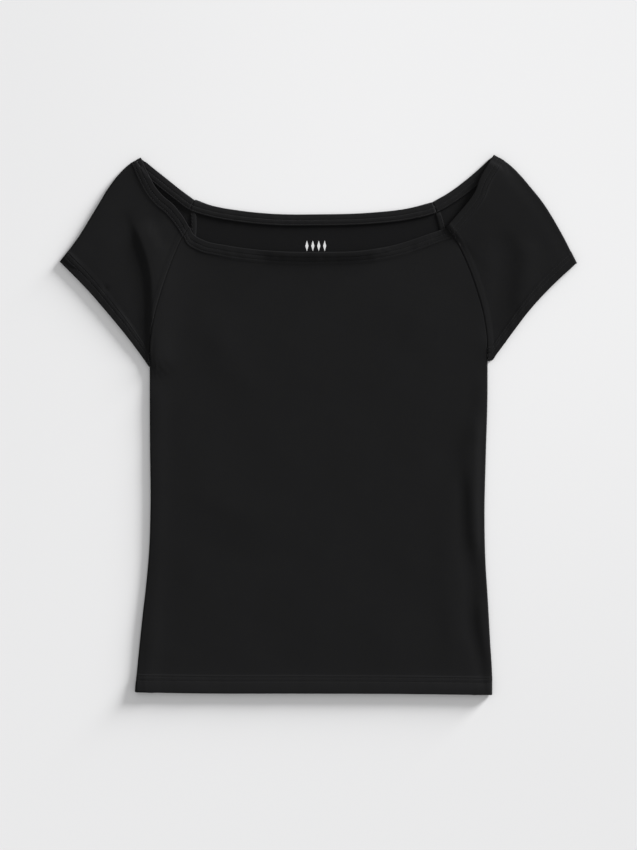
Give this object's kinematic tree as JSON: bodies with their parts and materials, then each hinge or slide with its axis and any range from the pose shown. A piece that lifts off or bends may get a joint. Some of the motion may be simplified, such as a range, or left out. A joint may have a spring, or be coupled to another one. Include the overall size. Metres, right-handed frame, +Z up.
{
  "type": "off-shoulder top",
  "caption": "Black jersey off-shoulder top with cap sleeves and a turned neck hem, laid flat on its back.",
  "frame": {"origin": "on the surface that the top lies on, under the middle of its outline", "axes": "+Z up from that surface, +Y towards the neckline, +X to the right as it is seen from above"},
  "size_m": [0.5942, 0.6206, 0.0061],
  "materials": {
    "jersey": "matte fine cotton and modal jersey, black",
    "neck_hem": "matte fine jersey, black, turned to the inside over elastic"
  },
  "bodies": {
    "root": {"front_panel": "jersey", "back_panel": "jersey", "sleeve_left": "jersey", "sleeve_right": "jersey", "neck_hem_back": "neck_hem", "neck_hem_sleeve_left": "neck_hem", "neck_hem_sleeve_right": "neck_hem"}
  },
  "joints": []
}
